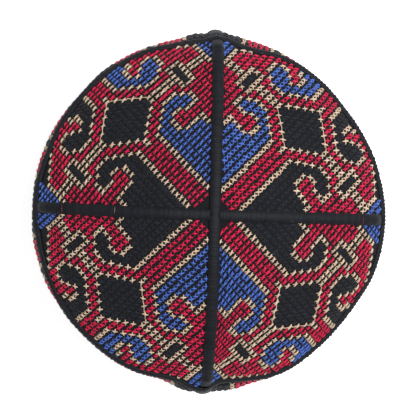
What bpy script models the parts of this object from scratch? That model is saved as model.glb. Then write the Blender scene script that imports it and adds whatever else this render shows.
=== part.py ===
"""A four-gore embroidered folding skull cap.

Four quarter-round gores make a low peaked crown. Raised satin-stitched ribs cover the seams between
them, a thicker rib runs round the rim, a standing side band in two halves hangs below it, and a folded
tape binds the bottom edge. The front and back of the rim come to a slight point, where the cap folds.

+Z is up and the origin is on the surface that the cap stands on. The lengthwise seam lies along Y.
"""
import math

import bmesh
import bpy
from mathutils import Vector

MM = 0.001

# Overall size
RIM_OUTER_RADIUS = 93.4 * MM      # mean outside radius at the rim, over the rim rib
SQUARENESS = 0.0075               # how far the seams stand out past the gores' middles, of the radius
FOLD_POINT = 3.0 * MM             # how far the front and back points stand out
FOLD_POINT_SPREAD = math.radians(4.5)
FOLD_POINT_ROUNDING = math.radians(2.0)
FOLD_PINCH = 1.3 * MM             # how far the rim is drawn in beside each point
PINCH_PLACE = math.radians(14.0)
PINCH_SPREAD = math.radians(8.0)
BAND_HEIGHT = 52.0 * MM           # from the table to the shoulder where the crown starts
CONE_SLOPE = 0.36                 # steady slope of the crown between its middle and its shoulder
CONE_STARTS = 0.6                 # share of the radius over which the middle rounds into that slope
SHOULDER_SLOPE = 1.2              # extra slope at the shoulder
SHOULDER_SHARPNESS = 16

# Cloth and trimmings
CLOTH = 2.0 * MM                  # stitched cloth with its backing
GAP = 0.35 * MM                   # clearance between neighbouring pieces
SEAM_GAP = 1.2 * MM               # between the outer edges of two gores under a rib, which lean together
BAND_SEAM_GAP = 1.1 * MM          # at the band's face: the halves' edges lean together at the inside
RIB_WIDTH = 5.5 * MM
RIB_HEIGHT = 1.7 * MM
RIM_RIB_WIDTH = 5.6 * MM
RIM_RIB_HEIGHT = 1.4 * MM
RIM_RIB_LEAN = math.radians(15.0)  # how far up the rib's inner edge faces, at the crown
BAND_STEP = 0.4 * MM              # the band's face stands this far outside the gores' edge
BAND_BELLY = 2.6 * MM             # the band's bulge below the rim
BELLY_RISE = 0.6                  # under 1 keeps the fullest part of the bulge near the rim
BELLY_FADE = math.radians(7.0)    # the bulge dies away over this angle beside each fold
BAND_TAPER = 1.5 * MM             # how far the band draws in at its bottom edge
TAPE = 1.2 * MM                   # binding tape thickness
TAPE_HEIGHT = 9.0 * MM

# Mesh fineness
GORE_GRID = 15
BAND_STEPS = 40
BAND_ROWS = 6
RING_STEPS = 80
RIB_STEP = 5.0 * MM
RIB_SIDES = 12

# Worked-out places
SHOULDER_INSET = RIM_RIB_HEIGHT + GAP + BAND_STEP
BAND_TOP = BAND_HEIGHT - CLOTH / 2 - GAP
BAND_BOTTOM = TAPE + GAP
BAND_DEPTH = BAND_TOP - BAND_BOTTOM
COVERED = (BAND_TOP - BAND_HEIGHT + RIM_RIB_WIDTH / 2 + GAP) / BAND_DEPTH   # behind the rim rib

BLACK_CLOTH = (0.020, 0.021, 0.024)
BLACK_THREAD = (0.024, 0.024, 0.028)
BLACK_TAPE = (0.017, 0.018, 0.020)


def from_fold(angle):
    """How far an angle lies from the front or back point, whichever is nearer."""
    return abs(math.remainder(angle - math.pi / 2, math.pi))


def pinch(angle):
    """How far the rim is drawn in at an angle. The band bulges by as much there."""
    return FOLD_PINCH * math.exp(-((from_fold(angle) - PINCH_PLACE) / PINCH_SPREAD) ** 2)


def shoulder_radius(angle):
    """Plan radius of the gores' outer edge: almost round, pointed at the front and back."""
    rounded = math.hypot(from_fold(angle), FOLD_POINT_ROUNDING) - FOLD_POINT_ROUNDING
    point = FOLD_POINT * math.exp(-rounded / FOLD_POINT_SPREAD) - pinch(angle)
    return RIM_OUTER_RADIUS * (1 + SQUARENESS * math.cos(4 * angle)) + point - SHOULDER_INSET


def crown_drop(share):
    """How far the crown has dropped below its peak, at a share of the shoulder radius from 0 to 1.

    It is the integral of a slope that eases in over CONE_STARTS, stays at CONE_SLOPE and then
    steepens into the shoulder.
    """
    eased = min(share / CONE_STARTS, 1.0)
    cone = CONE_STARTS * (eased ** 3 - eased ** 4 / 2) + max(share - CONE_STARTS, 0.0)
    shoulder = share ** (SHOULDER_SHARPNESS + 1) / (SHOULDER_SHARPNESS + 1)
    return RIM_OUTER_RADIUS * (CONE_SLOPE * cone + SHOULDER_SLOPE * shoulder)


def crown_point(x, y):
    """The point of the crown's outer face above x, y."""
    share = math.hypot(x, y) / shoulder_radius(math.atan2(y, x))
    return Vector((x, y, BAND_HEIGHT + crown_drop(1.0) - crown_drop(share)))


def crown_normal(x, y):
    """The crown's outward direction at x, y."""
    step = 0.2 * MM
    along_x = crown_point(x + step, y) - crown_point(x - step, y)
    along_y = crown_point(x, y + step) - crown_point(x, y - step)
    return along_x.cross(along_y).normalized()


def outward(angle, lean=0.0):
    """The direction out from the cap's middle at an angle, tipped up by lean."""
    return Vector((math.cos(angle) * math.cos(lean), math.sin(angle) * math.cos(lean), math.sin(lean)))


def band_point(angle, depth):
    """The point of the band's outer face at an angle, depth running from 0 at the top to 1."""
    below = max(depth - COVERED, 0.0) / (1 - COVERED)
    full = BAND_BELLY * (1 - math.exp(-(from_fold(angle) / BELLY_FADE) ** 2)) + pinch(angle)
    belly = full * math.sin(math.pi * below ** BELLY_RISE)
    radius = shoulder_radius(angle) + BAND_STEP + belly - BAND_TAPER * depth ** 2
    return outward(angle) * radius + Vector((0, 0, BAND_TOP - depth * BAND_DEPTH))


def cloth_material(name, colour, roughness):
    """A plain Principled material."""
    material = bpy.data.materials.new(name)
    material.use_nodes = True
    shader = material.node_tree.nodes["Principled BSDF"]
    shader.inputs["Base Color"].default_value = (*colour, 1.0)
    shader.inputs["Roughness"].default_value = roughness
    shader.inputs["Metallic"].default_value = 0.0
    return material


def add_object(name, bm, material):
    """Turns the bmesh into a smooth-shaded object of the cap's collection."""
    mesh = bpy.data.meshes.new(name)
    bm.to_mesh(mesh)
    bm.free()
    mesh.materials.append(material)
    mesh.shade_smooth()
    mesh.set_sharp_from_angle(angle=math.radians(40))
    piece = bpy.data.objects.new(name, mesh)
    bpy.data.collections["kufi"].objects.link(piece)
    return piece


def unit_grid(steps_a, steps_b, place):
    """A grid primitive whose corners run from 0 to 1 each way, with each corner moved by place(a, b)."""
    bm = bmesh.new()
    bmesh.ops.create_grid(bm, x_segments=steps_a, y_segments=steps_b, size=0.5)
    for corner in bm.verts:
        corner.co = place(corner.co.x + 0.5, corner.co.y + 0.5)
    return bm


def cloth_panel(name, steps_a, steps_b, place, flipped, colour):
    """A panel of cloth: the outer face is a placed grid, and Solidify thickens it inwards."""
    bm = unit_grid(steps_a, steps_b, place)
    if flipped:
        bmesh.ops.reverse_faces(bm, faces=bm.faces)
    panel = add_object(name, bm, cloth_material(name, colour, 0.9))
    thickness = panel.modifiers.new("cloth", "SOLIDIFY")
    thickness.thickness = CLOTH
    thickness.offset = -1.0
    thickness.use_even_offset = True
    return panel


def rolled_strip(name, sides, steps, place, closed, colour):
    """A bar whose section is rolled from a grid: place(around, along) gives each point.

    A closed bar joins its own start, and an open one has both ends filled.
    """
    bm = unit_grid(sides, steps, place)
    bmesh.ops.remove_doubles(bm, verts=bm.verts, dist=0.001 * MM)
    if not closed:
        bmesh.ops.holes_fill(bm, edges=bm.edges, sides=sides)
    bmesh.ops.recalc_face_normals(bm, faces=bm.faces)
    return add_object(name, bm, cloth_material(name, colour, 0.7))


def domed_section(around, height):
    """A flat-bottomed, round-topped section: how far across, from -1 to 1, and how high it stands."""
    turn = 2 * math.pi * around
    return math.cos(turn), GAP + height * max(math.sin(turn), 0.0)


def make_gore(name, side_x, side_y):
    """A quarter of the crown, from the peak to the rim."""
    def place(a, b):
        # A square bent to a quarter disc, with the corner of the square at the peak
        x = a * math.sqrt(1 - b * b / 2)
        y = b * math.sqrt(1 - a * a / 2)
        radius = shoulder_radius(math.atan2(y, x))
        x = max(x * radius, SEAM_GAP / 2)
        y = max(y * radius, SEAM_GAP / 2)
        return crown_point(side_x * x, side_y * y)

    return cloth_panel(name, GORE_GRID, GORE_GRID, place, side_x * side_y < 0, BLACK_CLOTH)


def make_crown_rib(name, direction, start, end):
    """A rib along a crown seam, from start to end measured out from the peak."""
    across = Vector((-direction.y, direction.x))

    def place(around, along):
        offset, height = domed_section(around, RIB_HEIGHT)
        spot = direction * (start + along * (end - start)) + across * (offset * RIB_WIDTH / 2)
        return crown_point(*spot) + crown_normal(*spot) * height

    steps = round((end - start) / RIB_STEP)
    return rolled_strip(name, RIB_SIDES, steps, place, False, BLACK_THREAD)


def make_rim_rib():
    """The thick rib over the seam between the crown and the band."""
    reach = RIM_RIB_WIDTH / 2

    def place(around, along):
        angle = 2 * math.pi * along
        offset, height = domed_section(around, RIM_RIB_HEIGHT)
        lean = RIM_RIB_LEAN * (1 - offset) / 2
        if offset < 0:
            radius = shoulder_radius(angle) + offset * reach * math.sin(RIM_RIB_LEAN)
            base = crown_point(*(outward(angle) * radius).xy)
        else:
            base = outward(angle) * (shoulder_radius(angle) + BAND_STEP)
            base.z = BAND_HEIGHT - offset * reach
        return base + outward(angle, lean) * height

    return rolled_strip("rim_rib", RIB_SIDES, RING_STEPS, place, True, BLACK_THREAD)


def make_band_half(name, middle):
    """Half of the side band, from the front seam to the back seam."""
    reach = math.pi / 2 - BAND_SEAM_GAP / 2 / RIM_OUTER_RADIUS

    def place(a, b):
        row = (1 - b) * BAND_ROWS
        depth = COVERED * min(row, 1) + (1 - COVERED) * max(row - 1, 0) / (BAND_ROWS - 1)
        return band_point(middle + (2 * a - 1) * reach, depth)

    return cloth_panel(name, BAND_STEPS, BAND_ROWS, place, False, BLACK_CLOTH)


def make_band_rib(name, angle):
    """The rib down the band's front or back seam, between the rim rib and the tape."""
    top = (BAND_TOP - BAND_HEIGHT + RIM_RIB_WIDTH / 2 + 2 * GAP) / BAND_DEPTH
    bottom = (BAND_TOP - TAPE_HEIGHT - GAP) / BAND_DEPTH
    steps = round((bottom - top) * BAND_DEPTH / RIB_STEP)

    def place(around, along):
        offset, height = domed_section(around, RIB_HEIGHT)
        turned = angle + offset * RIB_WIDTH / 2 / RIM_OUTER_RADIUS
        return band_point(turned, top + along * (bottom - top)) + outward(angle) * height

    return rolled_strip(name, RIB_SIDES, steps, place, False, BLACK_THREAD)


def make_hem_binding():
    """The tape folded round the band's bottom edge: a ring with a U section and a flat foot."""
    outer = GAP + TAPE
    inner = -CLOTH - GAP - TAPE
    section = [(outer, 0.0), (outer, TAPE_HEIGHT), (GAP, TAPE_HEIGHT), (GAP, TAPE),
               (-CLOTH - GAP, TAPE), (-CLOTH - GAP, TAPE_HEIGHT), (inner, TAPE_HEIGHT), (inner, 0.0)]

    def place(around, along):
        angle = 2 * math.pi * along
        out, height = section[round(around * len(section)) % len(section)]
        depth = min((BAND_TOP - height) / BAND_DEPTH, 1.0)
        spot = band_point(angle, depth) + outward(angle) * out
        spot.z = height
        return spot

    return rolled_strip("hem_binding", len(section), RING_STEPS, place, True, BLACK_TAPE)


def main():
    for thing in list(bpy.data.objects):
        bpy.data.objects.remove(thing)
    bpy.context.scene.collection.children.link(bpy.data.collections.new("kufi"))

    for lengthwise, side_y in (("front", -1), ("back", 1)):
        for crosswise, side_x in (("left", -1), ("right", 1)):
            make_gore(f"gore_{lengthwise}_{crosswise}", side_x, side_y)

    rib_end_y = shoulder_radius(math.pi / 2) - RIM_RIB_WIDTH / 2 * math.sin(RIM_RIB_LEAN) - GAP
    make_crown_rib("crown_rib_lengthwise", Vector((0, 1)), -rib_end_y, rib_end_y)
    rib_start_x = RIB_WIDTH / 2 + GAP
    rib_end_x = shoulder_radius(0.0) - RIM_RIB_WIDTH / 2 * math.sin(RIM_RIB_LEAN) - GAP
    make_crown_rib("crown_rib_left", Vector((-1, 0)), rib_start_x, rib_end_x)
    make_crown_rib("crown_rib_right", Vector((1, 0)), rib_start_x, rib_end_x)

    make_rim_rib()
    make_band_half("band_left", math.pi)
    make_band_half("band_right", 0.0)
    make_band_rib("band_rib_front", -math.pi / 2)
    make_band_rib("band_rib_back", math.pi / 2)
    make_hem_binding()


main()
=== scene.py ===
# %% [markdown]
# # An embroidered four-gore skull cap
# The cap has four quarter-round pieces of black cloth, called gores, worked all over in cross-stitch. Black
# satin-stitched ribs cover the seams between them and the rim, an embroidered band stands below, and a
# folded tape binds the bottom edge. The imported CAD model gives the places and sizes. This lesson dresses
# it: a finer mesh replaces each CAD solid, and the stitches are laid on the cloth.

import math
from functools import partial

import bmesh
import bpy
import numpy as np
from mathutils import Matrix, Vector


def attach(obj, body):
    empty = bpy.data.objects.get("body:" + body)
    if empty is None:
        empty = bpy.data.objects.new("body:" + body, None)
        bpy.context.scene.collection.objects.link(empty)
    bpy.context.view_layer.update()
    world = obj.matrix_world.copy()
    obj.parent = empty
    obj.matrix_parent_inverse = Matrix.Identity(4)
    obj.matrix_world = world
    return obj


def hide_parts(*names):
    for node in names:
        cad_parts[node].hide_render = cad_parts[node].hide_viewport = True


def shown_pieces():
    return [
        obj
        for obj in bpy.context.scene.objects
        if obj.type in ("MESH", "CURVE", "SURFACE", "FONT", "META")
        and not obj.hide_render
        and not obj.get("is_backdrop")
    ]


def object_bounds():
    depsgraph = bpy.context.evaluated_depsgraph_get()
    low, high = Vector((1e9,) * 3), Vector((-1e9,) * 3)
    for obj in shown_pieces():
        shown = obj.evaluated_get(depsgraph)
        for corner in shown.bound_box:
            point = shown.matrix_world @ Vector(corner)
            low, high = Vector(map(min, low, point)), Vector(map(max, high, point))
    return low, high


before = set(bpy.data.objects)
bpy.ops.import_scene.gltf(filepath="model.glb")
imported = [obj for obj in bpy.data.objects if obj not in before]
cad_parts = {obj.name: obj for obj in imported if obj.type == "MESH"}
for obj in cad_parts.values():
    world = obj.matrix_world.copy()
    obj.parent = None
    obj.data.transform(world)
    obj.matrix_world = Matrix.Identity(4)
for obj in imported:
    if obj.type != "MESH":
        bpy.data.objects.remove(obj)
cad_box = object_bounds()
MM = 0.001
cad_size = [round(side / MM, 1) for side in cad_box[1] - cad_box[0]]
print("CAD nodes:", len(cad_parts), "box:", cad_size, "mm")

# %% [markdown]
# ## The camera
# The picture looks straight down at the crown through a long lens, from a little over a metre up. It could
# be framed by eye, but then no stitch would fall where it should. Instead the rim, the seams and the middle
# of the crown were lined up with the picture, which gave the distance, the slight tip to one side, the
# two-degree turn and the lens.

# %% Camera
def add_object(name, data):
    """A new object in the scene."""
    made = bpy.data.objects.new(name, data)
    bpy.context.scene.collection.objects.link(made)
    return made


AIM = Vector((-0.72, 2.29, 50.0)) * MM
DISTANCE = 1162 * MM
TIP_LEFT = math.radians(4.96)
TIP_BACK = math.radians(0.57)
TURN = math.radians(-2.03)
SENSOR = 36.0
FOCAL_PIXELS = 2174.8
IMAGE_PIXELS = 416

backwards = Vector((-math.tan(TIP_LEFT), math.tan(TIP_BACK), 1.0)).normalized()
rightwards = Vector((math.sin(TURN), math.cos(TURN), 0.0)).cross(backwards).normalized()
upwards = backwards.cross(rightwards)
camera = add_object("camera", bpy.data.cameras.new("camera"))
camera.data.sensor_width = SENSOR
camera.data.lens = SENSOR * FOCAL_PIXELS / IMAGE_PIXELS
camera.data.clip_start = 0.05
camera.data.clip_end = 20.0
camera.matrix_world = (Matrix.Translation(AIM + backwards * DISTANCE)
                       @ Matrix((rightwards, upwards, backwards)).transposed().to_4x4())
bpy.context.scene.camera = camera
print("lens:", round(camera.data.lens, 1), "mm")

# %% [markdown]
# ## The cap's surface
# Stitches can only lie on the cloth if the script knows where the cloth is. The CAD source describes the
# crown as a height above each point of the plan, and the band as a radius at each angle and depth. The same
# rules are repeated here for whole arrays of points at once, which numpy does quickly.

# %% Sizes shared with the CAD source
RIM_OUTER_RADIUS = 93.4 * MM
SQUARENESS = 0.0075
FOLD_POINT = 3.0 * MM
FOLD_POINT_SPREAD = math.radians(4.5)
FOLD_POINT_ROUNDING = math.radians(2.0)
FOLD_PINCH = 1.3 * MM
PINCH_PLACE = math.radians(14.0)
PINCH_SPREAD = math.radians(8.0)
BAND_HEIGHT = 52.0 * MM
CONE_SLOPE = 0.36
CONE_STARTS = 0.6
SHOULDER_SLOPE = 1.2
SHOULDER_SHARPNESS = 16
CLOTH = 2.0 * MM
GAP = 0.35 * MM
SEAM_GAP = 1.2 * MM
BAND_SEAM_GAP = 1.1 * MM
RIB_WIDTH = 5.5 * MM
RIB_HEIGHT = 1.7 * MM
RIM_RIB_WIDTH = 5.6 * MM
RIM_RIB_HEIGHT = 1.4 * MM
RIM_RIB_LEAN = math.radians(15.0)
BAND_STEP = 0.4 * MM
BELLY_RISE = 0.6
BAND_TAPER = 1.5 * MM
TAPE = 1.2 * MM
TAPE_HEIGHT = 9.0 * MM
SHOULDER_INSET = RIM_RIB_HEIGHT + GAP + BAND_STEP
BAND_TOP = BAND_HEIGHT - CLOTH / 2 - GAP
BAND_DEPTH = BAND_TOP - TAPE - GAP
COVERED = (BAND_TOP - BAND_HEIGHT + RIM_RIB_WIDTH / 2 + GAP) / BAND_DEPTH

# %% The points at the front and the back
def from_fold(angle):
    """How far each angle lies from the front or back point, whichever is nearer."""
    return np.abs(np.mod(angle, math.pi) - math.pi / 2)


def pinch(angle):
    """How far the rim is drawn in beside the fold points."""
    return FOLD_PINCH * np.exp(-((from_fold(angle) - PINCH_PLACE) / PINCH_SPREAD) ** 2)


# %% [markdown]
# ### The uneven rim
# Hand sewing leaves the rim a little in or out of the CAD model's even line, most of all beside the front and
# back points, and the soft band bulges past it there. Noise would give some unevenness, but not in the right
# places. So two short tables, read from the picture, hold the rim's shift and the band's bulge in mm at some
# degrees round the cap, and a smooth closed curve is drawn through each.

# %% Rim and band curves
# Degrees round the cap from its right-hand side, and mm
RIM_SHIFTS = [
    (0, 0.8), (10, 0.2), (20, 0.0), (30, -0.5), (40, -0.9), (50, -0.1), (60, -0.2), (70, -0.6),
    (75, -1.6), (78, -2.1), (81, -2.3), (84, -1.7), (87, -1.9), (90, -2.6), (93, -3.2), (96, -2.1),
    (99, -1.2), (102, -0.7), (106, -0.4), (110, 0.0), (120, 0.1), (130, 0.9), (140, 0.4), (150, 0.0),
    (155, -0.3), (160, -0.8), (168, -0.7), (174, -0.2), (180, 0.0), (185, -0.1), (190, -0.7), (196, -0.4),
    (204, 0.2), (210, 0.8), (220, 1.1), (230, 0.8), (240, 0.8), (250, 0.4), (255, -0.4), (260, -1.4),
    (262, -1.6), (264, -1.0), (266, -0.8), (268, -0.9), (270, -1.1), (272, -1.8), (274, -3.1),
    (276, -3.2), (278, -2.6), (280, -1.7), (282, -0.8), (285, -0.2), (290, 1.0), (300, 1.6), (310, 0.6),
    (320, 0.1), (330, -0.1), (340, 1.1), (350, 1.0),
]
BAND_BULGES = [
    (0, 3.3), (25, 3.4), (50, 3.1), (58, 3.1), (62, 3.5), (65, 3.9), (70, 4.9), (75, 6.4), (78, 6.5),
    (81, 6.8), (84, 5.0), (87, 5.5), (90, 5.4), (93, 5.1), (96, 5.9), (99, 4.7), (102, 4.1), (106, 4.2),
    (110, 3.3), (116, 3.2), (124, 3.0), (130, 2.5), (140, 1.5), (145, 2.2), (150, 2.5), (160, 3.2),
    (168, 2.9), (174, 2.0), (180, 1.7), (185, 2.0), (190, 3.4), (198, 3.1), (206, 3.1), (212, 2.1),
    (230, 2.4), (250, 2.8), (256, 3.0), (260, 4.8), (262, 5.2), (264, 5.1), (266, 4.3), (268, 3.6),
    (270, 3.6), (272, 4.6), (274, 6.4), (276, 7.3), (278, 7.6), (280, 7.3), (282, 6.6), (284, 5.9),
    (286, 4.9), (290, 3.8), (300, 3.2), (320, 3.0), (340, 3.4),
]
SMOOTHING = 7                     # degrees that each value is averaged over


def closed_curve(table):
    """A table of degrees and values made into a smooth curve round the cap."""
    degrees, values = zip(*table)
    every = np.arange(360.0)
    curve = np.interp(every, degrees, values, period=360)
    window = np.hanning(SMOOTHING)
    padded = np.concatenate([curve[-(SMOOTHING // 2):], curve, curve[:SMOOTHING // 2]])
    curve = np.convolve(padded, window / window.sum(), "valid")
    return every, curve


rim_curve, bulge_curve = closed_curve(RIM_SHIFTS), closed_curve(BAND_BULGES)


def read_curve(curve, angle):
    """A curve's value at each angle."""
    return np.interp(np.degrees(angle), *curve, period=360) * MM


# %% Crown and band surfaces
def shoulder_radius(angle):
    """Plan radius of the gores' outer edge at each angle."""
    rounded = np.hypot(from_fold(angle), FOLD_POINT_ROUNDING) - FOLD_POINT_ROUNDING
    point = FOLD_POINT * np.exp(-rounded / FOLD_POINT_SPREAD) - pinch(angle)
    squared = RIM_OUTER_RADIUS * (1 + SQUARENESS * np.cos(4 * angle))
    return squared + point + read_curve(rim_curve, angle) - SHOULDER_INSET


def crown_drop(share):
    """How far the crown has dropped below its peak, at each share of the shoulder radius."""
    eased = np.minimum(share / CONE_STARTS, 1.0)
    cone = CONE_STARTS * (eased ** 3 - eased ** 4 / 2) + np.maximum(share - CONE_STARTS, 0.0)
    shoulder = share ** (SHOULDER_SHARPNESS + 1) / (SHOULDER_SHARPNESS + 1)
    return RIM_OUTER_RADIUS * (CONE_SLOPE * cone + SHOULDER_SLOPE * shoulder)


def crown_share(x, y):
    """How far out each plan point lies, from 0 at the peak to 1 at the shoulder."""
    return np.hypot(x, y) / shoulder_radius(np.arctan2(y, x))


WAVE_HEIGHT = 0.22 * MM
WAVE_ACROSS = 9 * MM              # each wave repeats after 2 pi times its length
WAVE_LENGTHWISE = 11 * MM
WAVE_SLANTING = 17 * MM


def cloth_wave(x, y):
    """Slight unevenness of hand-sewn cloth, which fades towards the rim."""
    wave = (np.sin(x / WAVE_ACROSS + 0.7) * np.sin(y / WAVE_LENGTHWISE + 0.4)
            + np.sin((x + y) / WAVE_SLANTING) * 0.6)
    return WAVE_HEIGHT * wave * np.clip(1.3 - 1.3 * crown_share(x, y) ** 4, 0.0, 1.0)


def crown_surface(x, y):
    """Points on the crown's outer face above x, y."""
    height = BAND_HEIGHT + crown_drop(1.0) - crown_drop(crown_share(x, y)) + cloth_wave(x, y)
    return np.stack([x, y, height], axis=-1)


def unit(vectors):
    """Vectors brought to length one."""
    return vectors / np.linalg.norm(vectors, axis=-1, keepdims=True)


def step_over(surface, a, b, step_a, step_b):
    """How far and which way a surface's points move over a step that has a, b in its middle."""
    return surface(a + step_a / 2, b + step_b / 2) - surface(a - step_a / 2, b - step_b / 2)


def crown_normal(x, y):
    """The crown's outward directions above x, y."""
    step = 0.4 * MM
    return unit(np.cross(step_over(crown_surface, x, y, step, 0), step_over(crown_surface, x, y, 0, step)))


def outward(angle, lean=0.0):
    """Directions out from the middle of the cap, tipped up by lean."""
    return np.stack([np.cos(angle) * np.cos(lean), np.sin(angle) * np.cos(lean),
                     np.sin(lean) * np.ones_like(angle)], axis=-1)


def band_surface(angle, depth):
    """Points on the band's outer face; depth runs from 0 at the top to 1 at the bottom."""
    depth = np.asarray(depth, dtype=float)
    below = np.clip((depth - COVERED) / (1 - COVERED), 0.0, 1.0)
    belly = read_curve(bulge_curve, angle) * np.sin(math.pi * below ** BELLY_RISE)
    radius = shoulder_radius(angle) + BAND_STEP + belly - BAND_TAPER * depth ** 2
    points = outward(angle) * radius[..., None]
    points[..., 2] = BAND_TOP - depth * BAND_DEPTH
    return points


peak = crown_surface(np.zeros(1), np.zeros(1))[0]
print("peak of the cloth:", round(float(peak[2]) / MM, 1), "mm up")

# %% [markdown]
# ## Shader building blocks
# Every black or coloured surface of the cap is either thread or woven cloth, so the detail is made once, as
# node groups, and used in each material with its own values. Painted textures would need image files. Nodes
# stay sharp at any distance and can be tuned with a few numbers. The groups only put out masks and heights
# that change over the surface, and each material keeps its own Principled shader.

# %% Node helpers
def feed(tree, socket, value):
    """Links a socket to another, or sets it to a plain value."""
    if isinstance(value, bpy.types.NodeSocket):
        tree.links.new(value, socket)
    else:
        socket.default_value = value


def calculate(tree, operation, *values):
    """A Math node's result for linked or plain values."""
    node = tree.nodes.new("ShaderNodeMath")
    node.operation = operation
    for socket, value in zip(node.inputs, values):
        feed(tree, socket, value)
    return node.outputs["Value"]


def feed_all(tree, node, values):
    """Feeds a node's inputs by their labels, with underscores for spaces, and returns its outputs."""
    for label, value in values.items():
        feed(tree, node.inputs[label.replace("_", " ")], value)
    return node.outputs


def add_node(tree, kind, **values):
    """Places a node in a tree and returns its outputs."""
    return feed_all(tree, tree.nodes.new(f"ShaderNode{kind}"), values)


def noise(tree, vector, scale, detail):
    """A Noise Texture's value, from 0 to 1."""
    return add_node(tree, "TexNoise", Vector=vector, Scale=scale, Detail=detail)["Fac"]


def begin_group(name, inputs, outputs):
    """A node group with named sockets, where an input without a value is a vector.

    Returns its tree, its inputs by name and its output node."""
    tree = bpy.data.node_groups.new(name, "ShaderNodeTree")
    for label, value in inputs.items():
        kind = "NodeSocketVector" if value is None else "NodeSocketFloat"
        socket = tree.interface.new_socket(name=label, in_out="INPUT", socket_type=kind)
        if value is not None:
            socket.default_value = value
    for label in outputs:
        tree.interface.new_socket(name=label, in_out="OUTPUT", socket_type="NodeSocketFloat")
    entry = tree.nodes.new("NodeGroupInput")
    return tree, entry.outputs, tree.nodes.new("NodeGroupOutput")


def use_group(tree, name, **values):
    """Places a node group in a tree and returns its outputs."""
    node = tree.nodes.new("ShaderNodeGroup")
    node.node_tree = bpy.data.node_groups[name]
    return feed_all(tree, node, values)


# %% [markdown]
# ### Thread strands
# Embroidery thread is a few strands of floss twisted together, with a silky shine broken up by fine fibres.
# Each stitch's UV map runs in millimetres along the thread, and across it from one whole number to the next.
# The whole part then tells threads apart, and the fraction says where the strands lie. The Shade output is
# painted shade: darker in the dips between strands and lighter on their crests, mixed with the fine fibres.

# %% Thread strand group
def make_strand_group():
    tree, given, result = begin_group("thread strands", {"Thread UV": None, "Strands": 3.0, "Twist": 0.3},
                                      ["Height", "Shade", "Tone"])
    split = add_node(tree, "SeparateXYZ", Vector=given["Thread UV"])
    along, across = split["X"], split["Y"]
    turned = calculate(tree, "MULTIPLY_ADD", along, given["Twist"],
                       calculate(tree, "MULTIPLY", across, given["Strands"]))
    ridge = calculate(tree, "ABSOLUTE", calculate(tree, "SINE", calculate(tree, "MULTIPLY", turned, math.pi)))
    stretched = add_node(tree, "CombineXYZ", X=calculate(tree, "MULTIPLY", along, 0.7),
                         Y=calculate(tree, "MULTIPLY", across, 16.0))
    fibres = noise(tree, stretched["Vector"], 2.0, 3.0)
    tone = tree.nodes.new("ShaderNodeTexWhiteNoise")
    tone.noise_dimensions = "1D"
    feed_all(tree, tone, {"W": calculate(tree, "FLOOR", across)})
    # Painted shade: low in the dips between strands, high on their crests, with fibres mixed in
    shade = calculate(tree, "MULTIPLY_ADD", ridge, 0.55, calculate(tree, "MULTIPLY", fibres, 0.6))
    height = calculate(tree, "MULTIPLY_ADD", fibres, 0.5, ridge)
    feed_all(tree, result, {"Height": height, "Shade": shade, "Tone": tone.outputs["Value"]})


make_strand_group()

# %% [markdown]
# ### Plain weave and lint
# The ground cloth is a plain weave: each yarn passes over one and under the next. Two sets of rounded ridges
# and a chequer that chooses which one is on top give it. Its Shade output is painted shade, darker where a
# yarn dips under the other, mixed with slubs in the yarn. Black cloth also shows every speck of lint, which
# is a noise cut off high, so that only a few small spots remain.

# %% Weave and lint groups
def make_weave_group():
    tree, given, result = begin_group("plain weave", {"Cloth UV": None, "Yarns per mm": 1.8},
                                      ["Height", "Shade"])
    split = add_node(tree, "SeparateXYZ", Vector=given["Cloth UV"])
    waves = []
    for axis in "XY":
        turns = calculate(tree, "MULTIPLY", split[axis], given["Yarns per mm"])
        waves.append(calculate(tree, "SINE", calculate(tree, "MULTIPLY", turns, math.pi)))
    warp, weft = (calculate(tree, "ABSOLUTE", wave) for wave in waves)
    on_top = calculate(tree, "GREATER_THAN", calculate(tree, "MULTIPLY", *waves), 0.0)
    difference = calculate(tree, "SUBTRACT", warp, weft)
    height = calculate(tree, "MULTIPLY_ADD", difference, on_top, weft)
    slubs = noise(tree, given["Cloth UV"], 0.9, 4.0)
    # Painted shade: follows the weave's height, darker in its dips, mixed with slubs of the yarn
    shade = calculate(tree, "MULTIPLY_ADD", height, 0.5, calculate(tree, "MULTIPLY", slubs, 0.7))
    feed_all(tree, result, {"Height": height, "Shade": shade})


def make_lint_group():
    tree, given, result = begin_group("lint", {"Position": None, "Amount": 0.5}, ["Mask"])
    specks = noise(tree, given["Position"], 620.0, 2.0)
    patches = noise(tree, given["Position"], 55.0, 3.0)
    limit = calculate(tree, "MULTIPLY_ADD", patches, -0.2, 0.80)
    cut = calculate(tree, "SUBTRACT", specks, limit)
    mask = calculate(tree, "MULTIPLY", calculate(tree, "MULTIPLY", cut, 12.0), given["Amount"])
    feed_all(tree, result, {"Mask": add_node(tree, "Clamp", Value=mask)["Result"]})


make_weave_group()
make_lint_group()
print("node groups:", [group.name for group in bpy.data.node_groups])

# %% [markdown]
# ## Materials
# Red, beige, blue and black floss make the pattern, black satin stitch covers the seams, and the ground and
# the binding are black cotton. Black things are never quite black: here they keep a little light in their
# colour, and the bump decides how they look. Each colour also runs from a darker one in the dips between
# strands and yarns to a lighter one on their crests, which is painted shade, mixed with a random tone for
# each thread. The floss is fairly smooth along its fibres, so its roughness is lower than the cloth's and
# follows the strands.

# %% Materials
def mixed_colour(tree, factor, dark, light):
    """A colour between two others, plain or linked."""
    node = tree.nodes.new("ShaderNodeMix")
    node.data_type = "RGBA"
    tree.links.new(factor, node.inputs[0])
    feed(tree, node.inputs[6], dark if isinstance(dark, bpy.types.NodeSocket) else (*dark, 1.0))
    feed(tree, node.inputs[7], light if isinstance(light, bpy.types.NodeSocket) else (*light, 1.0))
    return node.outputs[2]


def begin_material(name):
    """A new material. Returns it with its tree, its Principled shader, its UV and its object position."""
    material = bpy.data.materials.new(name)
    material.use_nodes = True
    tree = material.node_tree
    place = tree.nodes.new("ShaderNodeTexCoord")
    return material, tree, tree.nodes["Principled BSDF"], place.outputs["UV"], place.outputs["Object"]


LINT_COLOUR = (0.30, 0.29, 0.28)


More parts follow.
